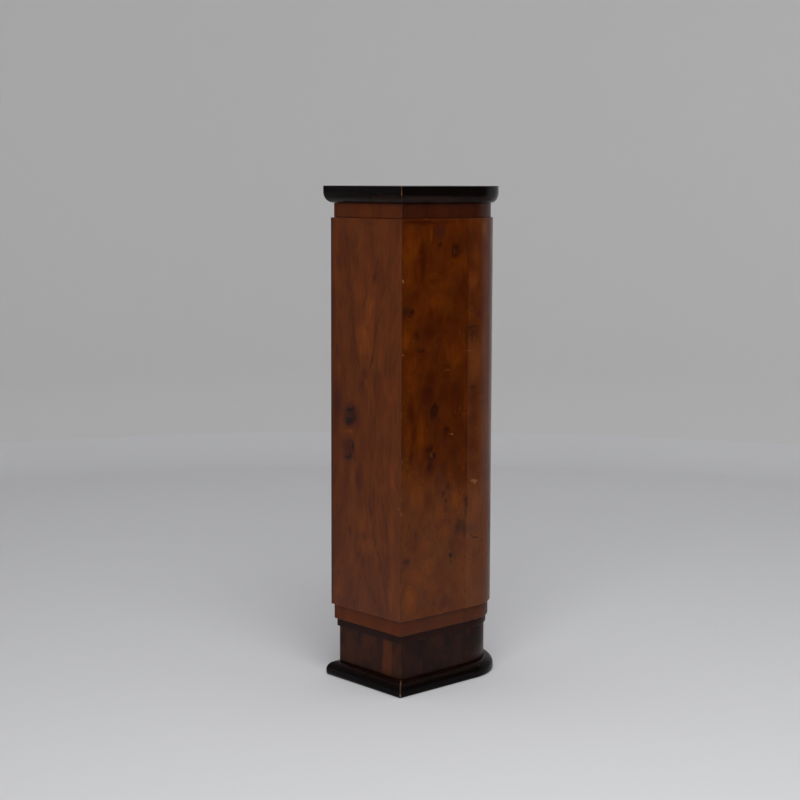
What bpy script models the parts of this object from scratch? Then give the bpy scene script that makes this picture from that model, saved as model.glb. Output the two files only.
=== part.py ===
"""A veneered display pedestal with a flat back, straight sides and a half-round front.

Run it with: blender --background --python part.py
Units are metres. +Z is up, the half-round front faces -Y and the flat back faces +Y.
The origin is on the floor, at the centre of the plan's bounding box.

The pedestal is a stack of tiers. Every tier has the shaft's plan, drawn outside or inside the
shaft's faces by its own overhang: two square corners at the back, and a half circle over the
whole width at the front. The case is closed all round, so each tier is a solid.
"""

import math
from functools import partial

import bmesh
import bpy

# Plan of the shaft
SHAFT_WIDTH = 0.233
SHAFT_DEPTH = 0.340

# Heights of the tiers, from the floor up
BASE_HEIGHT = 0.032
PLINTH_HEIGHT = 0.081
FILLET_HEIGHT = 0.0175
LOWER_BAND_HEIGHT = 0.033
SHAFT_HEIGHT = 0.8675
NECK_BAND_HEIGHT = 0.032
CAP_HEIGHT = 0.037

# How far each tier stands out from the shaft's faces (+) or back from them (-)
BASE_OVERHANG = 0.0085
PLINTH_OVERHANG = -0.0135
FILLET_OVERHANG = -0.0095
LOWER_BAND_OVERHANG = -0.0050
NECK_BAND_OVERHANG = -0.0050
CAP_OVERHANG = 0.0120

# The cap's edge: an upright fascia above a quarter round, with a narrow soffit left at the neck band
CAP_ROUND_DROP = 0.024
CAP_SOFFIT = 0.002

# The base's edge: a wide quarter round on top, starting at a narrow ledge, and a small one at the floor
BASE_UPPER_ROUND_RISE = 0.020
BASE_LEDGE = 0.002
BASE_LOWER_ROUND_REACH = 0.004
BASE_LOWER_ROUND_RISE = 0.008

# Arrises are eased by this much, and touching pieces keep this much air between them
EASED_ARRIS = 0.0010
JOINT_GAP = 0.0003

# Facets
FRONT_STEPS = 48
ROUND_STEPS = 6
ARRIS_STEPS = 2
SHARP_ANGLE = math.radians(30)


def clear_scene():
    for thing in list(bpy.data.objects):
        bpy.data.objects.remove(thing, do_unlink=True)


def plan_points(overhang):
    """The outline of a tier: a back corner, the half circle round the front, the other back corner."""
    half_width = SHAFT_WIDTH / 2 + overhang
    back = SHAFT_DEPTH / 2 + overhang
    circle_centre = SHAFT_WIDTH / 2 - SHAFT_DEPTH / 2
    points = [(half_width, back)]
    for step in range(FRONT_STEPS + 1):
        angle = math.pi * step / FRONT_STEPS
        points.append((half_width * math.cos(angle), circle_centre - half_width * math.sin(angle)))
    points.append((-half_width, back))
    return points


def quarter_round(reach, rise):
    """Steps outwards and upwards along a quarter ellipse that starts level and ends upright."""
    for step in range(1, ROUND_STEPS + 1):
        angle = math.pi / 2 * step / ROUND_STEPS
        yield reach * math.sin(angle), rise * (1 - math.cos(angle))


def straight_profile(overhang, height):
    """Upright faces from the bottom to the top."""
    return [(overhang, 0.0), (overhang, height)]


def cap_profile(height):
    """From the soffit, round the lower edge and up the fascia."""
    inner = NECK_BAND_OVERHANG + CAP_SOFFIT
    profile = [(inner, 0.0)]
    for out, up in quarter_round(CAP_OVERHANG - inner, CAP_ROUND_DROP):
        profile.append((inner + out, up))
    profile.append((CAP_OVERHANG, height))
    return profile


def base_profile(height):
    """From the floor, round the lower edge, up the face and over the wide round to the ledge."""
    foot = BASE_OVERHANG - BASE_LOWER_ROUND_REACH
    lower = [(foot, 0.0)]
    for out, up in quarter_round(BASE_LOWER_ROUND_REACH, BASE_LOWER_ROUND_RISE):
        lower.append((foot + out, up))
    inner = PLINTH_OVERHANG + BASE_LEDGE
    upper = [(inner, height)]
    for out, down in quarter_round(BASE_OVERHANG - inner, BASE_UPPER_ROUND_RISE):
        upper.append((inner + out, height - down))
    return lower + upper[::-1]


def tier_mesh(name, profile):
    """A closed mesh with the plan's outline, following the profile's (overhang, height) points upwards."""
    bm = bmesh.new()
    loops = []
    for overhang, height in profile:
        loops.append([bm.verts.new((x, y, height)) for x, y in plan_points(overhang)])
    for loop in loops:
        for here, there in zip(loop, loop[1:] + loop[:1]):
            bm.edges.new((here, there))
    bmesh.ops.bridge_loops(bm, edges=bm.edges)
    bm.faces.new(loops[0])
    bm.faces.new(loops[-1])
    bmesh.ops.recalc_face_normals(bm, faces=bm.faces)
    mesh = bpy.data.meshes.new(name)
    bm.to_mesh(mesh)
    bm.free()
    return mesh


def finish(name, colour, roughness):
    """A plain surface material of one colour."""
    material = bpy.data.materials.new(name)
    material.use_nodes = True
    shader = material.node_tree.nodes["Principled BSDF"]
    shader.inputs["Base Color"].default_value = (*colour, 1.0)
    shader.inputs["Roughness"].default_value = roughness
    shader.inputs["Metallic"].default_value = 0.0
    return material


def add_tier(name, parent, z, profile, material):
    """One tier standing at height z, with its arrises eased."""
    mesh = tier_mesh(name, profile)
    mesh.materials.append(material)
    mesh.shade_smooth()
    mesh.set_sharp_from_angle(angle=SHARP_ANGLE)
    tier = bpy.data.objects.new(name, mesh)
    bpy.context.scene.collection.objects.link(tier)
    tier.parent = parent
    tier.location = (0.0, 0.0, z)
    ease = tier.modifiers.new("eased_arrises", "BEVEL")
    ease.width = EASED_ARRIS
    ease.segments = ARRIS_STEPS
    ease.limit_method = "ANGLE"
    ease.angle_limit = SHARP_ANGLE
    return tier


def build():
    clear_scene()
    pedestal = bpy.data.objects.new("pedestal", None)
    bpy.context.scene.collection.objects.link(pedestal)

    black_base = finish("black_base", (0.012, 0.009, 0.009), 0.35)
    dark_walnut = finish("dark_walnut", (0.060, 0.024, 0.014), 0.40)
    dark_fillet = finish("dark_fillet", (0.022, 0.009, 0.010), 0.40)
    band_walnut = finish("band_walnut", (0.190, 0.065, 0.026), 0.40)
    shaft_walnut = finish("shaft_walnut", (0.210, 0.070, 0.022), 0.30)
    neck_walnut = finish("neck_walnut", (0.150, 0.050, 0.020), 0.40)
    black_cap = finish("black_cap", (0.010, 0.008, 0.009), 0.30)

    stack = (
        ("base_moulding", BASE_HEIGHT, base_profile, black_base),
        ("plinth", PLINTH_HEIGHT, partial(straight_profile, PLINTH_OVERHANG), dark_walnut),
        ("fillet", FILLET_HEIGHT, partial(straight_profile, FILLET_OVERHANG), dark_fillet),
        ("lower_band", LOWER_BAND_HEIGHT, partial(straight_profile, LOWER_BAND_OVERHANG), band_walnut),
        ("shaft", SHAFT_HEIGHT, partial(straight_profile, 0.0), shaft_walnut),
        ("neck_band", NECK_BAND_HEIGHT, partial(straight_profile, NECK_BAND_OVERHANG), neck_walnut),
        ("cap", CAP_HEIGHT, cap_profile, black_cap),
    )
    z = 0.0
    for name, height, profile_of, material in stack:
        is_top = name == stack[-1][0]
        solid_height = height if is_top else height - JOINT_GAP
        add_tier(name, pedestal, z, profile_of(solid_height), material)
        z += height


build()
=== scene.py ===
"""The looks of a veneered display pedestal: seven tiers, their finishes, a pale studio and a camera.

Lengths are metres. The pedestal stands on the floor with its half-round front towards -Y and its
flat back towards +Y. Each tier takes its place and outer size from the CAD node that it stands for.
"""

import logging
import math
from dataclasses import dataclass, field
from enum import Enum
from typing import Any, Iterable, Sequence, Union

import bmesh
import bpy
from mathutils import Matrix, Vector


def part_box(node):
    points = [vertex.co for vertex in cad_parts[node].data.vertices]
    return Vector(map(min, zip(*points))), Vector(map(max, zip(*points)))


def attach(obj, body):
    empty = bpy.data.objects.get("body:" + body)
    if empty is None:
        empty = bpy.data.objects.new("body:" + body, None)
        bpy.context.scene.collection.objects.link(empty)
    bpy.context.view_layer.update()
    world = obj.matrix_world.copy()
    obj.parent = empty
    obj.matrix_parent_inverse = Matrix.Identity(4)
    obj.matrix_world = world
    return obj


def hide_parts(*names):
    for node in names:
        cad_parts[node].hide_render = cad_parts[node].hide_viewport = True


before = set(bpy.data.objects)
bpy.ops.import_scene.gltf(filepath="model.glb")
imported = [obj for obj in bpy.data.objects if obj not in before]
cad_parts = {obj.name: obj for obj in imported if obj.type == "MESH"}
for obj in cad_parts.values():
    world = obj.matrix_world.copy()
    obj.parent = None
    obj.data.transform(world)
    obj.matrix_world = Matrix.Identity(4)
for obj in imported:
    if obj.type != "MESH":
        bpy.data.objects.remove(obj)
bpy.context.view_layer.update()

log = logging.getLogger("pedestal")

Triple = tuple[float, float, float]
Colour = Triple
Profile = list[tuple[float, float]]
MarkRow = tuple[int, int, int, int, int, int]
TintMix = tuple[Colour, Colour]

PICTURE_PIXELS = 800
SENSOR_WIDTH = 36.0
SEAT_NAME = "root"
TENTHS_PER_METRE = 10_000
PERCENT = 100
SWAY_GAIN = 4.0
SOFT_RIM = 1.25
PORE_DEPTH = 0.00004
SAME_PLACE = 1e-6
UPWARD = Vector((0.0, 0.0, 1.0))


class Tint(Enum):
    """The colours that a veneer's marks lean towards."""

    FLAME = "flame"
    AMBER = "amber"
    WINE = "wine"
    PLUM = "plum"
    MOSS = "moss"
    DARK = "dark"
    KNOT = "knot"
    CORE = "core"
    RING = "ring"
    LOOP = "loop"
    LINE = "line"
    PALE = "pale"
    CHIP = "chip"


class Part(Enum):
    """Which of a tier's material slots a face takes."""

    BACK = 0
    SIDE = 1
    LEVEL = 2


# Each mark is a soft ellipse: its middle along and up the face and its half width and half height in
# tenths of a millimetre, its lean in degrees and its strength in percent.

# On the flat back, measured along from the -X arris
BACK_MARKS: dict[Tint, tuple[MarkRow, ...]] = {
    Tint.FLAME: (
        (1378, 8709, 191, 365, 0, 40), (966, 8342, 245, 314, 0, 55), (692, 8851, 145, 240, -10, 22),
        (1031, 8014, 205, 218, 0, 61), (1228, 7783, 355, 292, 0, 68), (1162, 7505, 289, 268, 0, 77),
        (1129, 7268, 157, 220, 0, 68), (1846, 9123, 127, 245, 0, 24), (688, 7347, 121, 290, 0, 37),
        (786, 7598, 142, 218, 0, 28), (316, 6711, 260, 361, 0, 39), (1144, 6721, 66, 122, 0, 50),
        (1064, 6160, 37, 294, 0, 39), (522, 5891, 137, 340, 0, 28), (325, 4937, 281, 633, 0, 33),
        (550, 4492, 162, 172, 0, 46), (1241, 3663, 314, 325, 0, 46), (1140, 3166, 271, 225, 0, 50),
        (304, 3609, 113, 588, 0, 55), (284, 2426, 105, 592, 0, 39), (1442, 2442, 127, 303, 0, 24),
        (2024, 2111, 173, 307, 0, 18), (1713, 5627, 170, 60, 0, 68), (1612, 4547, 127, 250, 0, 20),
        (979, 6497, 164, 293, 0, 15),
    ),
    Tint.DARK: (
        (1611, 7274, 134, 271, 0, 24), (2122, 6208, 236, 300, 0, 46), (2157, 5735, 129, 226, 0, 24),
        (2190, 6827, 103, 400, 0, 28), (1409, 4574, 134, 224, 0, 37), (2225, 6305, 69, 20, 0, 66),
        (1778, 9845, 34, 243, 0, 46), (1695, 9238, 34, 293, 0, 42), (1999, 8612, 38, 172, 40, 46),
        (1594, 8480, 38, 147, 35, 46), (1678, 8169, 50, 221, 0, 39), (1229, 8468, 37, 134, -25, 46),
        (1129, 7931, 41, 73, 0, 35), (886, 9035, 61, 204, -25, 55), (569, 8782, 44, 215, -25, 53),
        (738, 8140, 45, 313, -25, 51), (658, 8339, 36, 144, -15, 33), (390, 9650, 28, 261, -5, 42),
        (424, 9420, 40, 38, 0, 61), (184, 9562, 35, 33, 0, 44), (176, 9256, 28, 189, 0, 33),
        (646, 9918, 28, 214, -5, 33), (524, 9773, 28, 119, 0, 31), (1051, 10175, 204, 57, 0, 31),
        (1214, 9678, 148, 120, 0, 35), (1412, 9855, 37, 109, 0, 33), (1395, 9358, 33, 218, 0, 24),
        (773, 9360, 40, 144, -20, 39), (419, 7968, 36, 77, -15, 39), (1417, 7223, 54, 319, 20, 66),
        (1534, 7740, 54, 294, 15, 50), (928, 7306, 49, 316, -15, 66), (835, 7832, 41, 242, -15, 55),
        (1194, 6957, 50, 122, 15, 55), (961, 7206, 33, 85, 0, 44), (785, 7194, 33, 53, 20, 46),
        (497, 7373, 32, 144, 0, 44), (632, 7200, 28, 121, 0, 31), (509, 7038, 28, 109, 0, 35),
        (833, 6913, 204, 170, 0, 29), (1511, 6952, 168, 296, 0, 20), (1270, 6710, 58, 98, 0, 42),
        (881, 6708, 41, 44, 0, 44), (1012, 6177, 21, 294, 0, 46), (841, 5932, 37, 59, 0, 44),
        (895, 5324, 49, 172, 0, 29), (375, 5387, 48, 194, 0, 24), (2176, 4720, 52, 66, 0, 55),
        (1292, 4435, 42, 45, -25, 66), (1375, 4301, 38, 32, 0, 66), (1629, 4109, 34, 88, 0, 39),
        (958, 3950, 50, 136, 0, 55), (877, 4381, 53, 272, 0, 42), (581, 4071, 49, 111, -10, 42),
        (729, 4270, 33, 148, 0, 24), (1190, 3336, 71, 120, 0, 57), (1680, 3393, 81, 139, 0, 55),
        (1816, 3688, 51, 151, 0, 31), (2143, 3888, 61, 114, 0, 33), (908, 3514, 33, 223, 5, 53),
        (832, 3238, 45, 149, 15, 61), (742, 3020, 41, 149, 25, 66), (636, 2695, 33, 248, 15, 53),
        (544, 2357, 33, 248, 10, 55), (477, 2014, 29, 223, 10, 44), (1263, 2810, 55, 126, 10, 50),
        (1173, 2422, 33, 201, 15, 53), (1039, 2200, 37, 113, 40, 55), (855, 1999, 33, 188, 40, 53),
        (690, 1818, 29, 125, 30, 42), (473, 3714, 36, 221, 0, 46), (448, 2904, 32, 272, 0, 42),
        (1955, 2624, 35, 92, -30, 44), (2093, 2395, 39, 92, -10, 33), (2094, 1812, 39, 103, -10, 42),
        (1544, 1779, 51, 102, 0, 53), (1646, 2089, 60, 127, 0, 33), (1391, 2945, 42, 101, 0, 26),
        (1782, 2948, 51, 177, 0, 22), (1972, 2212, 26, 77, 0, 31), (1273, 1819, 34, 151, 15, 28),
    ),
    Tint.PLUM: (
        (2049, 9367, 110, 172, 0, 61), (1678, 8825, 101, 147, 0, 61), (1914, 8462, 191, 197, 15, 39),
        (2017, 7795, 153, 347, 0, 50), (2137, 7343, 129, 299, 0, 50), (2105, 6299, 206, 650, 0, 73),
        (2222, 8269, 86, 744, 0, 50), (2228, 4691, 95, 759, 0, 44), (2232, 2646, 96, 768, 0, 39),
        (2158, 5375, 173, 503, 0, 33), (1376, 4623, 185, 299, 0, 33), (2144, 3412, 121, 611, 0, 51),
        (942, 4195, 144, 198, 0, 29), (1679, 5964, 402, 373, 0, 79), (1781, 5330, 340, 250, 0, 79),
        (1713, 5092, 340, 187, 0, 73), (1290, 6664, 141, 270, 0, 44), (837, 9037, 105, 144, -15, 44),
        (1510, 1819, 170, 152, 0, 24),
    ),
    Tint.KNOT: (
        (1672, 6111, 194, 79, 15, 94), (1665, 5997, 245, 263, 0, 57), (1727, 5211, 212, 225, 0, 31),
        (1692, 5878, 220, 129, 10, 94), (1544, 5978, 67, 173, 0, 83), (1581, 5295, 51, 154, 0, 94),
        (1666, 5423, 85, 35, 0, 50), (1873, 5274, 34, 115, 0, 44), (1764, 5220, 145, 112, 0, 24),
        (1734, 5048, 166, 65, 15, 88), (1952, 5377, 34, 85, 0, 28), (1497, 5012, 34, 20, 0, 55),
    ),
    Tint.CORE: (
        (1713, 6007, 135, 37, -35, 94), (1787, 5895, 76, 60, 0, 44), (1370, 6624, 58, 98, 0, 39),
        (1815, 5382, 128, 60, 0, 44),
    ),
    Tint.PALE: (
        (706, 5696, 16, 26, 30, 45), (726, 5618, 16, 35, 25, 40), (1632, 5641, 20, 20, 0, 75),
        (1733, 6469, 17, 20, 0, 70), (554, 7852, 16, 15, 0, 60), (444, 7859, 16, 13, 0, 55),
        (970, 6639, 13, 11, 0, 50), (796, 6655, 13, 11, 0, 50), (383, 8653, 16, 96, 0, 20),
        (856, 10062, 16, 107, 0, 15),
    ),
    Tint.CHIP: (
        (66, 4121, 22, 30, 0, 85), (15, 4024, 22, 30, -30, 75), (10, 5053, 16, 52, 0, 55),
        (-1, 4763, 13, 65, 0, 35),
    ),
}

# On the sides and the front, measured round from the -X back arris
BURR_MARKS: dict[Tint, tuple[MarkRow, ...]] = {
    Tint.AMBER: (
        (290, 9613, 259, 568, 0, 77), (246, 9741, 143, 236, 0, 66), (264, 8937, 234, 237, 0, 39),
        (847, 9951, 55, 179, 10, 100), (818, 10026, 29, 83, 10, 88), (1137, 9377, 334, 241, 0, 24),
        (996, 8522, 333, 217, 0, 46), (1350, 8895, 299, 145, 0, 33), (1798, 9357, 152, 219, 0, 39),
        (115, 7734, 136, 203, 5, 94), (288, 7017, 203, 481, 0, 50), (403, 7181, 29, 289, 0, 66),
        (348, 6669, 123, 217, 0, 61), (1604, 7358, 303, 270, 0, 50), (1347, 7419, 45, 220, -5, 55),
        (884, 7579, 166, 194, 0, 50), (2038, 8211, 161, 185, 0, 61), (2108, 8943, 169, 258, 0, 68),
        (2179, 9477, 155, 245, 0, 44), (2334, 8394, 129, 495, 0, 22), (165, 5544, 116, 532, 0, 83),
        (572, 5654, 103, 536, 0, 66), (530, 5398, 51, 195, 5, 61), (1282, 6111, 83, 246, 0, 28),
        (1890, 6212, 62, 646, 0, 39), (2220, 7140, 221, 398, 0, 40), (1808, 5086, 173, 300, 0, 33),
        (1857, 4791, 62, 55, 0, 99), (1633, 4125, 146, 238, 0, 77), (448, 4339, 191, 294, 0, 68),
        (1134, 3877, 170, 249, 0, 51), (1304, 3454, 152, 300, 0, 33), (705, 3228, 297, 198, 0, 22),
        (768, 2754, 242, 249, 10, 55), (472, 2556, 295, 198, 20, 55), (269, 2104, 238, 322, 0, 86),
        (890, 2312, 263, 200, 0, 29), (1865, 2473, 272, 406, 0, 37), (2071, 3619, 156, 253, 0, 13),
        (1808, 1961, 194, 178, 0, 29), (2255, 3934, 251, 355, 0, 13),
    ),
    Tint.MOSS: (
        (1011, 5633, 119, 147, 0, 31), (195, 8368, 187, 157, 0, 77), (2118, 7931, 293, 32, 0, 94),
        (1920, 7756, 50, 172, 0, 88), (1782, 7873, 53, 123, -15, 66), (2090, 7723, 46, 173, 0, 68),
        (2229, 7715, 35, 173, 0, 44), (2027, 7826, 308, 160, 0, 50), (497, 7505, 84, 46, 0, 88),
        (632, 7496, 59, 53, 0, 94), (534, 7301, 55, 36, 0, 68), (1350, 7091, 83, 49, 0, 68),
        (2148, 6584, 132, 25, 0, 66), (1328, 5703, 106, 59, 0, 77), (1700, 3512, 123, 214, 5, 79),
        (1886, 3464, 116, 215, 0, 73), (1928, 3863, 78, 202, 0, 46), (1534, 3221, 115, 126, 20, 44),
        (1614, 2895, 77, 151, 0, 37), (1180, 3827, 38, 124, 0, 22), (923, 1928, 150, 100, 0, 29),
        (105, 2789, 109, 74, 0, 29), (2015, 3017, 47, 102, 20, 28), (2351, 4261, 88, 152, 0, 28),
    ),
    # The first two marks, wide and thin along the top of the shaft, are painted shade under the neck
    # band; the rest are dark figure in the burr.
    Tint.WINE: (
        (517, 10232, 723, 62, 0, 94), (1279, 10242, 446, 48, 0, 55), (617, 9392, 116, 524, 0, 88),
        (813, 9386, 165, 335, 0, 18), (948, 8965, 177, 77, 0, 44), (320, 9295, 144, 213, 0, 26),
        (352, 8637, 253, 167, 0, 33), (699, 8878, 110, 192, 0, 37), (1818, 8812, 209, 440, 0, 33),
        (1594, 8495, 189, 244, 0, 22), (1207, 8079, 522, 170, 0, 33), (1358, 7897, 188, 146, 0, 35),
        (1282, 6111, 640, 1353, 0, 24), (764, 7931, 331, 217, 0, 48), (443, 7821, 116, 144, 0, 83),
        (1059, 7914, 297, 73, 0, 33), (650, 7400, 147, 193, 0, 24), (272, 7404, 144, 192, 0, 24),
        (830, 6890, 222, 243, 0, 61), (773, 6548, 240, 316, 0, 68), (811, 6610, 59, 97, 0, 77),
        (1306, 6898, 169, 122, 0, 53), (1279, 6550, 263, 343, 0, 57), (1613, 6391, 304, 544, 0, 68),
        (1508, 6179, 129, 222, 0, 66), (1686, 6671, 69, 222, 0, 61), (2129, 6325, 179, 349, 0, 68),
        (2125, 5857, 163, 350, 0, 55), (2140, 5320, 180, 351, 0, 61), (2120, 4829, 156, 252, 0, 50),
        (2101, 8119, 162, 493, 0, 39), (2071, 9480, 153, 367, 0, 33), (2009, 9547, 92, 586, 0, 44),
        (2128, 9871, 115, 244, 0, 39), (293, 6114, 109, 338, -10, 83), (367, 5718, 73, 388, 5, 68),
        (297, 5249, 73, 194, 5, 66), (240, 5114, 109, 73, 0, 55), (781, 5284, 185, 245, 0, 57),
        (843, 4883, 149, 270, -5, 68), (1331, 5645, 174, 198, 0, 83), (1502, 5208, 266, 298, 0, 42),
        (1782, 4688, 346, 375, 0, 37), (1942, 4086, 124, 176, 0, 50), (773, 4211, 149, 296, 0, 51),
        (1330, 3963, 99, 100, 0, 44), (380, 3363, 220, 295, -5, 37), (1750, 3100, 135, 177, 5, 33),
        (2466, 9490, 204, 641, 0, 22), (2235, 2849, 121, 255, 0, 22), (1792, 3544, 232, 227, 5, 29),
        (453, 3484, 110, 197, -5, 35), (1520, 3043, 134, 201, 15, 42), (1672, 3201, 115, 151, 20, 31),
        (1160, 2515, 227, 351, -5, 20), (1347, 1924, 191, 252, 0, 20), (133, 2960, 182, 147, 0, 29),
        (683, 1990, 224, 249, 0, 20),
    ),
    Tint.PLUM: (
        (1132, 10020, 207, 182, 5, 83), (1147, 10105, 148, 108, 0, 39), (2534, 9664, 133, 160, 0, 66),
        (2303, 8228, 66, 111, 0, 66), (196, 8251, 158, 124, 0, 39), (1160, 4516, 211, 396, 0, 66),
        (1372, 4358, 114, 299, 0, 55), (1276, 5461, 87, 143, 0, 94), (856, 5112, 163, 98, 0, 68),
        (1280, 4940, 102, 69, 0, 100), (1068, 5927, 112, 74, 0, 33), (2167, 3403, 198, 183, 0, 66),
        (1347, 1879, 305, 152, 0, 46), (1044, 1863, 151, 100, 0, 31), (142, 2937, 168, 147, 0, 55),
        (1530, 1894, 115, 177, 0, 28), (171, 4265, 127, 219, 0, 33), (2232, 6004, 202, 25, 0, 33),
        (2244, 7759, 161, 198, 0, 33),
    ),
    Tint.KNOT: (
        (1111, 9738, 52, 62, 0, 66), (1602, 9622, 173, 189, 15, 79), (322, 8332, 58, 72, 0, 88),
        (224, 8239, 86, 29, 0, 44), (80, 8373, 43, 104, 0, 44), (959, 6173, 134, 200, 10, 90),
        (1087, 6238, 34, 24, 0, 94), (961, 6323, 37, 34, 0, 66), (901, 5997, 67, 54, 0, 55),
        (969, 5185, 52, 89, 10, 94), (825, 5334, 126, 64, 0, 61), (856, 5101, 82, 83, 0, 46),
        (1476, 2915, 65, 81, -25, 100), (1498, 2777, 38, 60, 0, 55), (154, 2957, 95, 69, 0, 55),
        (1252, 4306, 49, 80, 10, 66), (1328, 4163, 49, 65, 0, 66), (1387, 4456, 53, 137, 5, 55),
        (828, 4973, 74, 123, 0, 53), (1942, 4091, 62, 60, 0, 66), (1968, 3982, 39, 50, 0, 44),
        (426, 3499, 33, 103, -20, 61), (232, 3712, 44, 98, 0, 37), (2075, 8231, 31, 22, 0, 61),
        (1945, 8334, 19, 20, 0, 88), (2435, 6230, 39, 38, 0, 28), (2206, 3221, 135, 18, 15, 77),
        (945, 3891, 37, 55, 0, 33), (665, 3972, 37, 54, -15, 31), (1399, 3676, 34, 55, 0, 31),
    ),
    Tint.CORE: (
        (1668, 9599, 106, 136, 15, 88), (965, 6151, 71, 93, 10, 83), (871, 5205, 82, 49, 35, 94),
        (181, 8326, 79, 62, 0, 61), (2089, 7790, 93, 79, 0, 33), (1103, 9999, 81, 120, 10, 33),
    ),
    Tint.RING: (
        (945, 8982, 242, 142, 0, 44), (1455, 9227, 132, 205, 0, 35), (1214, 7123, 225, 120, -25, 22),
        (953, 6141, 149, 214, 10, 29), (470, 8333, 128, 137, 0, 20),
    ),
    Tint.LOOP: (
        (1433, 2563, 116, 214, 0, 22), (1304, 7106, 180, 100, -30, 37), (2160, 6311, 163, 316, 0, 37),
        (780, 3173, 283, 210, 0, 24), (1073, 1947, 272, 224, 0, 29), (2035, 2538, 172, 193, 0, 22),
        (1118, 9988, 195, 201, 5, 33),
    ),
    # The faint tall marks from about 0.20 m round, near the bend of the front, are painted sheen; the
    # rest are light flecks and rubbed spots in the wood.
    Tint.PALE: (
        (2001, 7411, 129, 11, 0, 55), (2477, 10061, 123, 175, 0, 22), (2077, 8889, 104, 153, 0, 10),
        (2319, 4039, 193, 498, 0, 12), (1492, 5605, 46, 20, 0, 100), (1404, 5625, 18, 13, 0, 60),
        (2028, 3252, 19, 18, 0, 90), (1697, 3826, 18, 20, 0, 55), (880, 5202, 59, 20, 65, 45),
        (1429, 3001, 43, 13, -50, 45), (1542, 9592, 15, 69, 10, 30), (1365, 7029, 90, 20, 0, 24),
        (2159, 5602, 3, 2, 0, 10), (1725, 6160, 15, 66, 0, 40), (1603, 6094, 15, 57, 0, 28),
        (2237, 7006, 19, 311, 0, 12), (2064, 2715, 19, 182, 0, 12),
    ),
    Tint.CHIP: (
        (2186, 4500, 101, 23, 10, 95), (2211, 4474, 69, 25, 0, 95), (2196, 4442, 34, 20, 0, 90),
        (2105, 4496, 31, 16, 0, 70), (41, 8999, 26, 38, 0, 90), (42, 7432, 26, 15, 0, 80),
        (20, 5138, 14, 47, 0, 45), (19, 4006, 17, 26, 0, 50),
    ),
    Tint.LINE: (
        (2159, 5600, 144, 10, 0, 61), (1971, 5515, 15, 312, 0, 33), (262, 6461, 17, 172, 0, 13),
    ),
}


class Value:
    """A node's output that takes part in Python sums, adding a node for each."""

    def __init__(self, shader: "Shader", socket: bpy.types.NodeSocket) -> None:
        """Wraps one output socket of a shader's tree."""
        self.shader = shader
        self.socket = socket

    def _sum(self, operation: str, *inputs: Any) -> "Value":
        """One Math node, or a Vector Math node where an input is three numbers."""
        kind = "ShaderNodeVectorMath" if tuple in map(type, inputs) else "ShaderNodeMath"
        return self.shader.node(kind, {"operation": operation}, dict(enumerate(inputs)))

    def __add__(self, other: Any) -> "Value":
        """Adds a value, a number or three numbers."""
        return self._sum("ADD", self, other)

    __radd__ = __add__

    def __sub__(self, other: Any) -> "Value":
        """Takes a value, a number or three numbers away."""
        return self._sum("SUBTRACT", self, other)

    def __rsub__(self, other: Any) -> "Value":
        """Is taken away from a number."""
        return self._sum("SUBTRACT", other, self)

    def __mul__(self, other: Any) -> "Value":
        """Multiplies by a value, a number or three numbers."""
        return self._sum("MULTIPLY", self, other)

    __rmul__ = __mul__

    def __truediv__(self, other: Any) -> "Value":
        """Divides by a value or number."""
        return self._sum("DIVIDE", self, other)

    def __abs__(self) -> "Value":
        """The size without the sign."""
        return self._sum("ABSOLUTE", self)

    def most(self, other: Any) -> "Value":
        """The larger of the two."""
        return self._sum("MAXIMUM", self, other)

    def step(self, start: float, end: float, low: float = 0.0, high: float = 1.0) -> "Value":
        """Turns smoothly from low at start to high at end, and stays there."""
        ends = {"Value": self, "From Min": start, "From Max": end, "To Min": low, "To Max": high}
        return self.shader.node("ShaderNodeMapRange", {"interpolation_type": "SMOOTHSTEP"}, ends)


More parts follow.
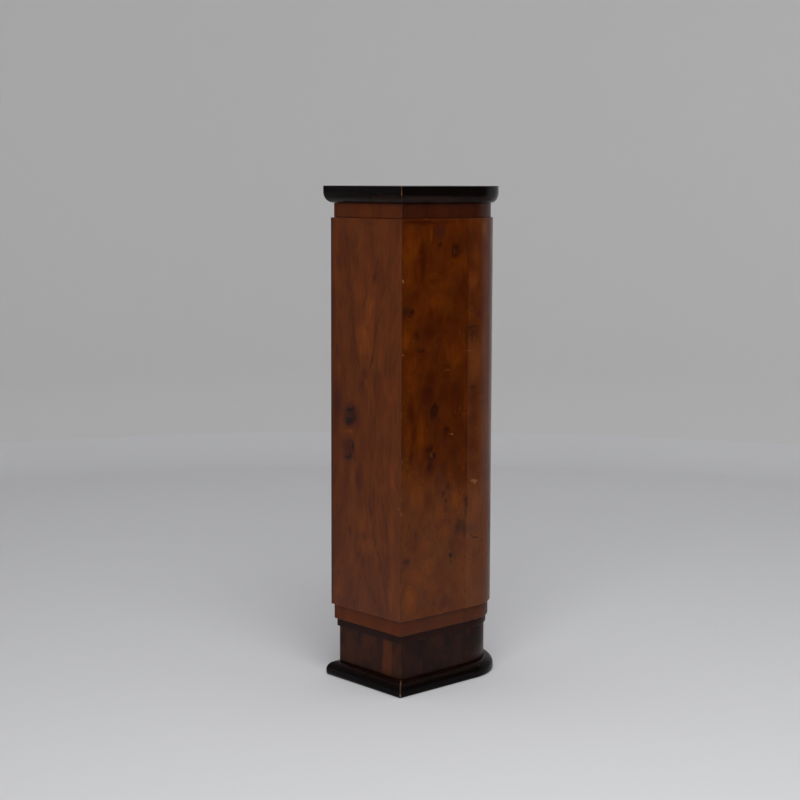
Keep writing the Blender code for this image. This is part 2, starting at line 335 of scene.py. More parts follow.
class Shader:
    """A material on one Principled shader, built with expressions."""

    def __init__(self, name: str) -> None:
        """Starts a material with an empty tree.

        Args:
            name: The material's name.
        """
        self.material = bpy.data.materials.new(name)
        self.material.use_nodes = True
        self.tree = self.material.node_tree
        self.surface = self.tree.nodes["Principled BSDF"]

    def node(
        self,
        kind: str,
        settings: dict[str, Any] | None = None,
        inputs: dict[Union[int, str], Any] | None = None,
        output: Union[int, str] = 0,
    ) -> Value:
        """Any node, with its settings made before its sockets are filled.

        Args:
            kind: The node's type.
            settings: Its properties; "stops" gives a colour ramp's places and colours.
            inputs: Values or links of its sockets, by name or number.
            output: The socket that the result wraps.

        Returns:
            The chosen output.
        """
        made = self.tree.nodes.new(kind)
        for key, value in (settings or {}).items():
            if key == "stops":
                elements = made.color_ramp.elements
                for place, colour in value[2:]:
                    elements.new(place)
                for element, (place, colour) in zip(elements, sorted(value)):
                    element.position = place
                    element.color = (*colour, 1.0)
            else:
                setattr(made, key, value)
        for key, value in (inputs or {}).items():
            if isinstance(value, Value):
                self.tree.links.new(value.socket, made.inputs[key])
            else:
                made.inputs[key].default_value = value
        return Value(self, made.outputs[output])

    def uv(self) -> Value:
        """The piece's own map, in metres along and up the face."""
        return self.node("ShaderNodeUVMap", {"uv_map": "face_metres"})

    def place(self) -> Value:
        """The place in the pedestal's frame, in metres."""
        return self.node("ShaderNodeTexCoord", output="Object")

    def arris(self) -> Value:
        """One on the eased arrises and nought on the faces."""
        return self.node("ShaderNodeAttribute", {"attribute_name": "arris"}, output="Fac")

    def split(self, vector: Value) -> tuple[Value, Value, Value]:
        """A vector's three parts.

        Args:
            vector: The vector.

        Returns:
            Its x, y and z.
        """
        first = self.node("ShaderNodeSeparateXYZ", inputs={0: vector})
        outputs = first.socket.node.outputs
        return first, Value(self, outputs[1]), Value(self, outputs[2])

    def vector(self, x: Any, y: Any, z: Any = 0.0) -> Value:
        """A vector from three parts."""
        return self.node("ShaderNodeCombineXYZ", inputs={0: x, 1: y, 2: z})

    def along(self, operation: str, first: Any, second: Any) -> Value:
        """One Vector Math node on two vectors."""
        return self.node("ShaderNodeVectorMath", {"operation": operation}, {0: first, 1: second})

    def noise(self, vector: Value, scale: Triple, detail: float = 2.0, rough: float = 0.5) -> Value:
        """Cloudy noise between nought and one, with its repeats per metre along each axis."""
        sizes = {"Vector": vector * scale, "Scale": 1.0, "Detail": detail, "Roughness": rough}
        return self.node("ShaderNodeTexNoise", inputs=sizes)

    def sway(self, vector: Value, scale: Triple, reach: Triple) -> Value:
        """The coordinates pushed about by noise.

        Args:
            vector: The coordinates.
            scale: The noise's repeats per metre along each axis.
            reach: How far a point moves at most along each axis, in metres.

        Returns:
            The new coordinates.
        """
        sizes = {"Vector": vector * scale, "Scale": 1.0, "Detail": 2.0}
        cloud = self.node("ShaderNodeTexNoise", inputs=sizes, output=1)
        push = (cloud - (0.5, 0.5, 0.5)) * tuple(SWAY_GAIN * way for way in reach)
        return self.along("ADD", vector, push)

    def mix(self, first: Any, second: Any, share: Any) -> Value:
        """Two colours mixed.

        Args:
            first: The colour at share nought.
            second: The colour at share one.
            share: How much of the second.

        Returns:
            The mixed colour.
        """
        settings = {"data_type": "RGBA", "clamp_factor": True}
        ends = {0: share}
        for key, colour in ((6, first), (7, second)):
            ends[key] = colour if isinstance(colour, Value) else (*colour, 1.0)
        return self.node("ShaderNodeMix", settings, ends, 2)

    def coats(self, colour: Value, coats: Iterable[tuple[Colour, Any]]) -> Value:
        """A colour under thin coats of other colours.

        Args:
            colour: The ground colour.
            coats: Each coat's colour and share, from the lowest up.

        Returns:
            The colour with the coats.
        """
        for coat, share in coats:
            colour = self.mix(colour, coat, share)
        return colour

    def tinted(self, colour: Value, factors: Triple, share: Any) -> Value:
        """A colour that leans by a share to itself times three factors."""
        return self.mix(colour, colour * factors, share)

    def shade(self, colour: Value, factor: Value) -> Value:
        """A colour made lighter or darker by a factor."""
        grey = self.vector(factor, factor, factor)
        return self.along("MULTIPLY", colour, grey)

    def ramp(self, factor: Value, stops: list[tuple[float, Colour]]) -> Value:
        """A colour ramp with at least two places and colours, in order."""
        return self.node("ShaderNodeValToRGB", {"stops": stops}, {0: factor})

    def turned(self, vector: Value, lean: int) -> Value:
        """The coordinates turned about their origin, so that leaning marks stand upright in them.

        Args:
            vector: The coordinates.
            lean: The marks' lean in degrees.

        Returns:
            The turned coordinates.
        """
        if not lean:
            return vector
        turn = (0.0, 0.0, math.radians(lean))
        return self.node("ShaderNodeMapping", inputs={"Vector": vector, "Rotation": turn})

    def reach(self, vector: Value, mark: MarkRow) -> Value:
        """How far out a point lies in an ellipse, with one on the ellipse itself.

        Args:
            vector: The coordinates, turned by the ellipse's lean.
            mark: The ellipse's centre, half sizes, lean and strength.

        Returns:
            The share of the radius.
        """
        across, up, half_width, half_height = (tenths / TENTHS_PER_METRE for tenths in mark[:4])
        lean = math.radians(mark[4])
        along = (across * math.cos(lean) - up * math.sin(lean)) / half_width
        above = (across * math.sin(lean) + up * math.cos(lean)) / half_height
        ends = {0: vector, 1: (1 / half_width, 1 / half_height, 0.0), 2: (-along, -above, 0.0)}
        local = self.node("ShaderNodeVectorMath", {"operation": "MULTIPLY_ADD"}, ends)
        return self.node("ShaderNodeVectorMath", {"operation": "LENGTH"}, {0: local}, "Value")

    def marked(
        self, vector: Value, marks: Iterable[MarkRow], edge: float, hollow: bool = False
    ) -> Value:
        """Several soft leaning ellipses, filled or as rings, the strongest showing.

        Args:
            vector: The coordinates.
            marks: The ellipses.
            edge: The share of the radius where a filled one is still full, or a ring's half width.
            hollow: Whether they are rings.

        Returns:
            Their common strength.
        """
        together = None
        frames = {lean: self.turned(vector, lean) for lean in sorted({mark[4] for mark in marks})}
        for mark in marks:
            *_, lean, percent = mark
            reach = self.reach(frames[lean], mark)
            strength = percent / PERCENT
            if hollow:
                one = abs(reach - 1.0).step(edge, edge * 0.2, 0.0, strength)
            else:
                one = reach.step(SOFT_RIM, edge, 0.0, strength)
            together = one if together is None else together.most(one)
        return together

    def bump(
        self, height: Value, distance: float, strength: float = 1.0, below: Value | None = None
    ) -> Value:
        """A bumped normal.

        Args:
            height: The relief, from nought to one.
            distance: How deep one is, in metres.
            strength: How much of it shows.
            below: A normal that it lies on.

        Returns:
            The normal.
        """
        ends = {"Height": height, "Distance": distance, "Strength": strength}
        if below is not None:
            ends["Normal"] = below
        return self.node("ShaderNodeBump", inputs=ends)

    def finish(
        self, colour: Value, roughness: Value, normal: Value | None, specular: float
    ) -> bpy.types.Material:
        """Joins the maps to the surface.

        Args:
            colour: The base colour.
            roughness: The roughness.
            normal: The bumped normal, if any.
            specular: The specular level, the same all over.

        Returns:
            The material.
        """
        self.tree.links.new(colour.socket, self.surface.inputs["Base Color"])
        self.tree.links.new(roughness.socket, self.surface.inputs["Roughness"])
        if normal is not None:
            self.tree.links.new(normal.socket, self.surface.inputs["Normal"])
        self.surface.inputs["Specular IOR Level"].default_value = specular
        return self.material


class Veneer:
    """What the two marked veneers share."""

    tints: dict[Tint, TintMix]

    def laid(
        self,
        colour: Value,
        where: Value,
        marks: dict[Tint, tuple[MarkRow, ...]],
        order: Iterable[tuple[Tint, float]],
        figure: Value,
    ) -> Value:
        """Lays the marks over the ground colour, tint by tint.

        Args:
            colour: The ground colour.
            where: The coordinates of the marks.
            marks: The marks of each tint.
            order: The tints from the lowest up, each with its marks' edge.
            figure: The figure that breaks up the soft tints.

        Returns:
            The colour with the marks.
        """
        shader = colour.shader
        crisp = (Tint.KNOT, Tint.CORE, Tint.PALE, Tint.CHIP, Tint.LINE)
        for tint, edge in order:
            if tint not in marks:
                continue
            share = shader.marked(where, marks[tint], edge, tint in (Tint.RING, Tint.LOOP))
            if tint not in crisp:
                share = share * figure
            scale, lift = self.tints[tint]
            colour = shader.mix(colour, colour * scale + lift, share)
        return colour


@dataclass(frozen=True)
class BackVeneer(Veneer):
    """Walnut on the flat back, with grain that spreads from a waist, a pointed flame and two knots."""

    light: Colour = (0.148, 0.0310, 0.0026)
    middle: Colour = (0.126, 0.0252, 0.0022)
    dark: Colour = (0.100, 0.0190, 0.0020)
    near_strip: Colour = (0.120, 0.0320, 0.0070)
    far_strip: Colour = (0.076, 0.0200, 0.0056)
    far_arris: Colour = (0.022, 0.0100, 0.0040)
    specular: float = 0.20
    width: float = 0.233
    axis: float = 0.120
    flame_tip: float = 0.70
    pin_knot: float = 0.47
    spread_above: float = 3.0
    spread_below: float = 4.5
    tints: dict[Tint, TintMix] = field(
        default_factory=lambda: {
            Tint.FLAME: ((1.62, 1.64, 1.15), (0.0, 0.0, 0.0)),
            Tint.PLUM: ((0.66, 0.52, 1.0), (0.0, 0.0, 0.0030)),
            Tint.DARK: ((0.42, 0.44, 0.8), (0.0, 0.0, 0.0)),
            Tint.KNOT: ((0.06, 0.16, 0.4), (0.006, 0.0028, 0.0004)),
            Tint.CORE: ((0.45, 0.55, 1.0), (0.020, 0.0090, 0.0040)),
            Tint.PALE: ((0.0, 0.0, 0.0), (0.210, 0.0760, 0.0280)),
            Tint.CHIP: ((0.0, 0.0, 0.0), (0.250, 0.0950, 0.0380)),
        }
    )

    def spread(self, flat: Value) -> Value:
        """Coordinates whose upright lines draw together between the flame's tip and the pin knot.

        Args:
            flat: The face's own map.

        Returns:
            The coordinates.
        """
        across, up, _ = flat.shader.split(flat)
        above = (up - self.flame_tip).most(0.0) * self.spread_above
        below = (self.pin_knot - up).most(0.0) * self.spread_below
        return flat.shader.vector((across - self.axis) / (above + below + 1.0), up)

    def material(self) -> bpy.types.Material:
        """Builds the veneer.

        Returns:
            The material.
        """
        shader = Shader("back_veneer")
        flat = shader.uv()
        wavy = shader.sway(self.spread(flat), (11.0, 4.0, 1.0), (0.0065, 0.0, 0.0))
        swayed = shader.sway(wavy, (60.0, 17.0, 1.0), (0.0012, 0.0040, 0.0))
        broad = shader.noise(swayed, (46.0, 8.0, 1.0), 2.0, 0.55)
        streaks = shader.noise(swayed, (210.0, 20.0, 1.0), 3.0, 0.62)
        hue = shader.noise(swayed, (85.0, 9.0, 1.0), 2.0, 0.6)
        pores = shader.noise(swayed, (1500.0, 60.0, 1.0), 2.0, 0.6)
        quiet = shader.noise(flat, (26.0, 11.0, 1.0), 2.0).step(0.35, 0.65, 0.35, 1.0)
        tone = (broad * 0.78 + streaks * 0.22).step(0.30, 0.70)
        colour = shader.ramp(tone, [(0.0, self.dark), (0.5, self.middle), (1.0, self.light)])
        colour = shader.tinted(colour, (0.98, 1.05, 1.1), hue.step(0.42, 0.62))
        loose = shader.sway(flat, (70.0, 26.0, 1.0), (0.0015, 0.0034, 0.0))
        order = (
            (Tint.FLAME, 0.30),
            (Tint.PLUM, 0.30),
            (Tint.DARK, 0.25),
            (Tint.KNOT, 0.25),
            (Tint.CORE, 0.30),
        )
        colour = self.laid(colour, loose, BACK_MARKS, order, streaks.step(0.30, 0.62, 0.76, 1.10))
        colour = self.laid(colour, flat, BACK_MARKS, ((Tint.PALE, 0.5), (Tint.CHIP, 0.8)), streaks)
        across = shader.split(flat)[0]
        coats = (
            (self.near_strip, across.step(0.0125, 0.0045) * 0.45),
            (self.far_strip, across.step(self.width - 0.016, self.width - 0.004) * 0.6),
            (self.far_arris, across.step(self.width - 0.0045, self.width - 0.0020) * 0.75),
        )
        colour = shader.coats(colour, coats)
        fine = streaks.step(0.2, 0.8, -0.17, 0.15) * quiet + 1.0
        colour = shader.shade(colour, fine * pores.step(0.25, 0.62, 0.86, 1.04))
        roughness = pores.step(0.2, 0.8, 0.40, 0.30)
        return shader.finish(colour, roughness, shader.bump(pores, PORE_DEPTH), self.specular)


@dataclass(frozen=True)
class BurrVeneer(Veneer):
    """Amber burr walnut on the sides and front, in two leaves that mirror each other at the front."""

    deep: Colour = (0.067, 0.0106, 0.0004)
    amber: Colour = (0.082, 0.0143, 0.0005)
    bright: Colour = (0.097, 0.0180, 0.0006)
    pale_foot: Colour = (0.122, 0.0280, 0.0030)
    pale_strip_and_sheen: Colour = (0.147, 0.0430, 0.0140)
    joint_line: Colour = (0.036, 0.0070, 0.0020)
    eye: Colour = (0.018, 0.0060, 0.0016)
    grimy_arris: Colour = (0.016, 0.0070, 0.0030)
    rubbed_arris: Colour = (0.260, 0.0900, 0.0350)
    specular: float = 0.155
    side: float = 0.2235
    radius: float = 0.1165
    joint: float = 0.1950
    tints: dict[Tint, TintMix] = field(
        default_factory=lambda: {
            Tint.AMBER: ((1.52, 1.54, 1.1), (0.0, 0.0, 0.0)),
            Tint.WINE: ((0.56, 0.42, 0.7), (0.0, 0.0, 0.0)),
            Tint.PLUM: ((0.70, 0.66, 1.0), (0.0, 0.0010, 0.0040)),
            Tint.MOSS: ((0.42, 0.62, 1.0), (0.0, 0.0, 0.0006)),
            Tint.KNOT: ((0.14, 0.12, 0.4), (0.010, 0.0020, 0.0003)),
            Tint.CORE: ((0.30, 0.40, 0.8), (0.034, 0.0066, 0.0008)),
            Tint.RING: ((1.35, 1.60, 1.6), (0.010, 0.0030, 0.0020)),
            Tint.LOOP: ((0.50, 0.48, 0.8), (0.0, 0.0, 0.0004)),
            Tint.LINE: ((0.30, 0.36, 0.6), (0.0, 0.0, 0.0004)),
            Tint.PALE: ((0.0, 0.0, 0.0), (0.210, 0.0720, 0.0280)),
            Tint.CHIP: ((0.0, 0.0, 0.0), (0.240, 0.0860, 0.0300)),
        }
    )

    def material(self) -> bpy.types.Material:
        """Builds the veneer.

        Returns:
            The material.
        """
        shader = Shader("burr_veneer")
        flat = shader.uv()
        round_way, up, _ = shader.split(flat)
        middle = self.side + math.pi * self.radius / 2
        leaf = middle - abs(round_way - middle)
        matched = shader.vector(leaf, up)
        swayed = shader.sway(matched, (16.0, 9.0, 1.0), (0.010, 0.014, 0.0))
        clouds = shader.noise(swayed, (17.0, 10.0, 1.0), 3.0, 0.5)
        mottle = shader.noise(swayed, (58.0, 34.0, 1.0), 3.0, 0.55)
        figure = shader.noise(swayed, (120.0, 30.0, 1.0), 3.0, 0.6)
        grain = shader.noise(swayed, (900.0, 200.0, 1.0), 2.0, 0.6)
        hue = shader.noise(swayed, (24.0, 15.0, 1.0), 2.0, 0.6)
        tone = (clouds * 0.88 + figure * 0.12).step(0.30, 0.70)
        colour = shader.ramp(tone, [(0.0, self.deep), (0.5, self.amber), (1.0, self.bright)])
        ragged = up + leaf * 0.32 + (mottle - 0.5) * 0.05
        foot = ragged.step(0.535, 0.475)
        colour = shader.mix(colour, self.pale_foot, foot * 0.75)
        colour = shader.tinted(colour, (0.98, 1.10, 1.2), hue.step(0.45, 0.65))
        colour = shader.tinted(colour, (0.84, 0.70, 0.9), mottle.step(0.52, 0.64) * 0.55)
        colour = shader.tinted(colour, (1.15, 1.19, 1.15), mottle.step(0.46, 0.36) * 0.55)
        # Past the joint a lighter band: partly lighter veneer, partly painted sheen where the front
        # bends away.
        beyond = leaf.step(self.joint, self.joint + 0.0012)
        strip = beyond * leaf.step(self.side + 0.12, self.side + 0.05)
        strip = strip * up.step(0.80, 0.73, 0.45, 1.0) * clouds.step(0.3, 0.6, 0.32, 0.52)
        colour = shader.mix(colour, self.pale_strip_and_sheen, strip)
        loose = shader.sway(matched, (75.0, 38.0, 1.0), (0.0021, 0.0034, 0.0))
        order = (
            (Tint.AMBER, 0.25),
            (Tint.WINE, 0.25),
            (Tint.PLUM, 0.30),
            (Tint.MOSS, 0.30),
            (Tint.KNOT, 0.40),
            (Tint.CORE, 0.20),
        )
        colour = self.laid(colour, loose, BURR_MARKS, order, figure.step(0.3, 0.7, 0.88, 1.08))
        lines = ((Tint.RING, 0.20), (Tint.LOOP, 0.18), (Tint.LINE, 0.50))
        colour = self.laid(colour, loose, BURR_MARKS, lines, mottle.step(0.42, 0.58, 0.15, 1.0))
        colour = self.eyes(swayed, self.curls(swayed, colour))
        ends = up.step(0.36, 0.42) * up.step(1.000, 0.985)
        joint = abs(leaf - self.joint).step(0.0018, 0.0004) * ends * mottle.step(0.40, 0.60, 0.35, 0.85)
        colour = shader.mix(colour, self.joint_line, joint)
        colour = self.laid(colour, flat, BURR_MARKS, ((Tint.PALE, 0.45), (Tint.CHIP, 0.8)), figure)
        grime_and_shade = shader.noise(flat, (30.0, 16.0, 1.0), 3.0).step(0.62, 0.47)
        rubbing = shader.noise(flat, (60.0, 40.0, 1.0), 3.0).step(0.60, 0.66)
        arris = shader.arris()
        coats = (
            (self.grimy_arris, arris * grime_and_shade * up.step(0.60, 0.50, 0.45, 1.0) * 0.9),
            (self.rubbed_arris, arris * rubbing * 0.6),
        )
        colour = shader.coats(colour, coats)
        fine = figure.step(0.25, 0.75, 0.95, 1.05) * grain.step(0.25, 0.62, 0.94, 1.02)
        roughness = clouds.step(0.3, 0.7, 0.24, 0.18)
        normal = shader.bump(grain, PORE_DEPTH / 2)
        return shader.finish(shader.shade(colour, fine), roughness, normal, self.specular)

    def curls(self, vector: Value, colour: Value) -> Value:
        """Fine curly lines of the burr's grain.

        Args:
            vector: The coordinates.
            colour: The colour below.

        Returns:
            The colour with the lines.
        """
        shader = colour.shader
        contour = shader.noise(vector, (46.0, 30.0, 1.0), 2.0, 0.55)
        where = shader.noise(vector, (15.0, 12.0, 1.0), 1.0).step(0.46, 0.60)
        light = abs(contour - 0.50).step(0.018, 0.004) * where
        dark = abs(contour - 0.56).step(0.020, 0.004) * where
        colour = shader.tinted(colour, (1.4, 1.6, 1.3), light * 0.4)
        return shader.tinted(colour, (0.5, 0.6, 0.9), dark * 0.4)

    def eyes(self, vector: Value, colour: Value) -> Value:
        """Small dark burr eyes, thinly scattered.

        Args:
            vector: The coordinates.
            colour: The colour below.

        Returns:
            The colour with the eyes.
        """
        shader = colour.shader
        ends = {"Vector": vector * (52.0, 30.0, 1.0), "Scale": 1.0, "Randomness": 1.0}
        reach = shader.node("ShaderNodeTexVoronoi", {"voronoi_dimensions": "2D"}, ends)
        chance = Value(shader, reach.socket.node.outputs["Color"])
        pick = shader.split(chance)[0].step(0.89, 0.92)
        core = reach.step(0.20, 0.06) * pick
        ring = reach.step(0.34, 0.26) * reach.step(0.16, 0.24) * pick
        colour = shader.tinted(colour, (1.4, 1.6, 1.3), ring * 0.3)
        return shader.mix(colour, self.eye, core * 0.35)


@dataclass(frozen=True)
class BandVeneer:
    """Walnut laid with its grain upright on the narrow bands.

    The scales are repeats per metre, and a span is where a smooth step starts and ends.
    """

    name: str
    light: Colour
    dark: Colour
    specular: float = 0.22
    sway: tuple[Triple, Triple] = ((12.0, 12.0, 1.0), (0.004, 0.0, 0.0))
    broad_scale: Triple = (30.0, 4.0, 1.0)
    streak_scale: Triple = (240.0, 14.0, 1.0)
    pore_scale: Triple = (1500.0, 90.0, 1.0)
    broad_share: float = 0.6
    tone_span: tuple[float, float] = (0.33, 0.67)
    rubbed: Colour = (0.200, 0.0620, 0.0180)
    rubbed_scale: Triple = (50.0, 40.0, 1.0)
    rubbed_span: tuple[float, float] = (0.50, 0.66)
    rubbed_share: float = 0.35
    roughness: tuple[float, float] = (0.41, 0.32)

    def aged(self, colour: Value, flat: Value, streaks: Value) -> Value:
        """Leaves the plain wood's colour as it is; the plinth adds to it here."""
        return colour

    def material(self) -> bpy.types.Material:
        """Builds the wood.

        Returns:
            The material.
        """
        shader = Shader(self.name)
        flat = shader.uv()
        swayed = shader.sway(flat, *self.sway)
        broad = shader.noise(swayed, self.broad_scale, 3.0, 0.6)
        streaks = shader.noise(swayed, self.streak_scale, 3.0, 0.6)
        pores = shader.noise(swayed, self.pore_scale, 2.0, 0.6)
        tone = (broad * self.broad_share + streaks * (1.0 - self.broad_share)).step(*self.tone_span)
        colour = self.aged(shader.mix(self.dark, self.light, tone), flat, streaks)
        rubbing = shader.noise(flat, self.rubbed_scale, 3.0).step(*self.rubbed_span)
        colour = shader.mix(colour, self.rubbed, shader.arris() * rubbing * self.rubbed_share)
        colour = shader.shade(colour, pores.step(0.25, 0.62, 0.88, 1.03))
        rough = pores.step(0.2, 0.8, *self.roughness)
        return shader.finish(colour, rough, shader.bump(pores, PORE_DEPTH), self.specular)


@dataclass(frozen=True)
class StainedPlinth(BandVeneer):
    """Dark stained wood of the plinth, with one lighter board near the -X arris of the back."""

    stripe: Colour = (0.112, 0.0244, 0.0034)
    # The colour of the painted shade along the plinth's foot.
    grime_and_shade: Colour = (0.020, 0.0060, 0.0040)
    sway: tuple[Triple, Triple] = ((14.0, 10.0, 1.0), (0.004, 0.003, 0.0))
    broad_scale: Triple = (20.0, 15.0, 1.0)
    streak_scale: Triple = (200.0, 12.0, 1.0)
    pore_scale: Triple = (1400.0, 70.0, 1.0)
    broad_share: float = 0.75
    tone_span: tuple[float, float] = (0.38, 0.62)
    rubbed: Colour = (0.150, 0.0520, 0.0220)
    rubbed_scale: Triple = (40.0, 30.0, 1.0)
    rubbed_span: tuple[float, float] = (0.48, 0.62)
    rubbed_share: float = 0.45
    roughness: tuple[float, float] = (0.42, 0.32)

    def aged(self, colour: Value, flat: Value, streaks: Value) -> Value:
        """Lets in the lighter board on the back and paints shade along the foot.

        Args:
            colour: The stained wood's colour.
            flat: The face's own map.
            streaks: The noise of its grain.

        Returns:
            The colour with both.
        """
        shader = colour.shader
        across = shader.split(flat)[0]
        _, place_y, height = shader.split(shader.place())
        board = across.step(0.029, 0.033) * across.step(0.062, 0.057) * place_y.step(0.150, 0.152)
        coats = (
            (self.stripe, board * streaks.step(0.3, 0.7, 0.55, 0.95)),
            # Darker over the plinth's lowest 16 mm: painted shade where it meets the base's upper
            # round.
            (self.grime_and_shade, height.step(0.050, 0.034) * 0.4),
        )
        return shader.coats(colour, coats)


@dataclass(frozen=True)
class Ebonised:
    """Black polish, rubbed to brown at the mitres; the base's upper curve is brown from wear and
    painted sheen.
    """

    name: str
    half: float
    back: float
    black: Colour = (0.0036, 0.0022, 0.0022)
    brown: Colour = (0.0170, 0.0060, 0.0036)
    bare: Colour = (0.3000, 0.1250, 0.0600)
    rubbed_arris: Colour = (0.070, 0.0300, 0.0160)
    brown_above: float = 10.0
    brown_below: float = -1.0
    mitre_from: float = 0.0
    mitre_width: float = 0.0017
    brush_depth: float = 0.00012
    specular: float = 0.10

    def material(self) -> bpy.types.Material:
        """Builds the polish.

        Returns:
            The material.
        """
        shader = Shader(self.name)
        place = shader.place()
        x, y, height = shader.split(place)
        brushed = shader.noise(place, (14.0, 14.0, 60.0), 3.0, 0.6)
        speckle = shader.noise(place, (420.0, 420.0, 420.0), 2.0, 0.6)
        # The brown on the base's upper round is partly worn polish, partly painted sheen.
        above = height.step(self.brown_above, self.brown_above + 0.006)
        below = height.step(self.brown_below, self.brown_below - 0.006)
        worn_brown_and_sheen = brushed.step(0.36, 0.66, 0.35, 1.0) * above.most(below)
        colour = shader.mix(self.black, self.brown, worn_brown_and_sheen * 0.9 + brushed.step(0.45, 0.8) * 0.12)
        from_side = self.half - abs(x)
        line = abs(from_side - (self.back - y)).step(self.mitre_width, self.mitre_width * 0.3)
        corner = from_side.step(0.026, 0.020) * y.step(self.back - 0.030, self.back - 0.024)
        patchy = shader.noise(place, (60.0, 60.0, 130.0), 3.0, 0.6).step(0.42, 0.60)
        worn = patchy.most(0.25) * height.step(self.mitre_from, self.mitre_from + 0.003, 0.25, 1.0)
        rubbing = shader.noise(place, (70.0, 70.0, 70.0), 3.0).step(0.60, 0.70)
        coats = (
            (self.bare, line * corner * worn * 0.8),
            (self.rubbed_arris, shader.arris() * rubbing * 0.6),
        )
        colour = shader.coats(colour, coats)
        rough = brushed.step(0.3, 0.7, 0.18, 0.26)
        normal = shader.bump(brushed, self.brush_depth, 0.6, shader.bump(speckle, PORE_DEPTH / 2))
        return shader.finish(colour, rough, normal, self.specular)


@dataclass(frozen=True)
class Paint:
    """Plain matt paint for the studio."""

    name: str
    colour: Colour
    roughness: float = 0.9
    specular: float = 0.1

    def material(self) -> bpy.types.Material:
        """Builds the paint.

        Returns:
            The material.
        """
        shader = Shader(self.name)
        soft = shader.noise(shader.place(), (1.3, 1.3, 1.3), 2.0)
        pale = tuple(0.985 * part for part in self.colour)
        colour = shader.mix(pale, self.colour, soft)
        rough = soft.step(0.0, 1.0, self.roughness, self.roughness + 0.02)
        return shader.finish(colour, rough, None, self.specular)


def finished(
    bm: bmesh.types.BMesh, name: str, materials: Iterable[bpy.types.Material]
) -> bpy.types.Object:
    """Turns a bmesh into an object of the scene and frees it.

    Args:
        bm: The shape, in its final place.
        name: The object's name.
        materials: Its materials, in the order of the faces' numbers.

    Returns:
        The object.
    """
    mesh = bpy.data.meshes.new(name)
    bm.to_mesh(mesh)
    bm.free()
    for material in materials:
        mesh.materials.append(material)
    made = bpy.data.objects.new(name, mesh)
    bpy.context.scene.collection.objects.link(made)
    return made


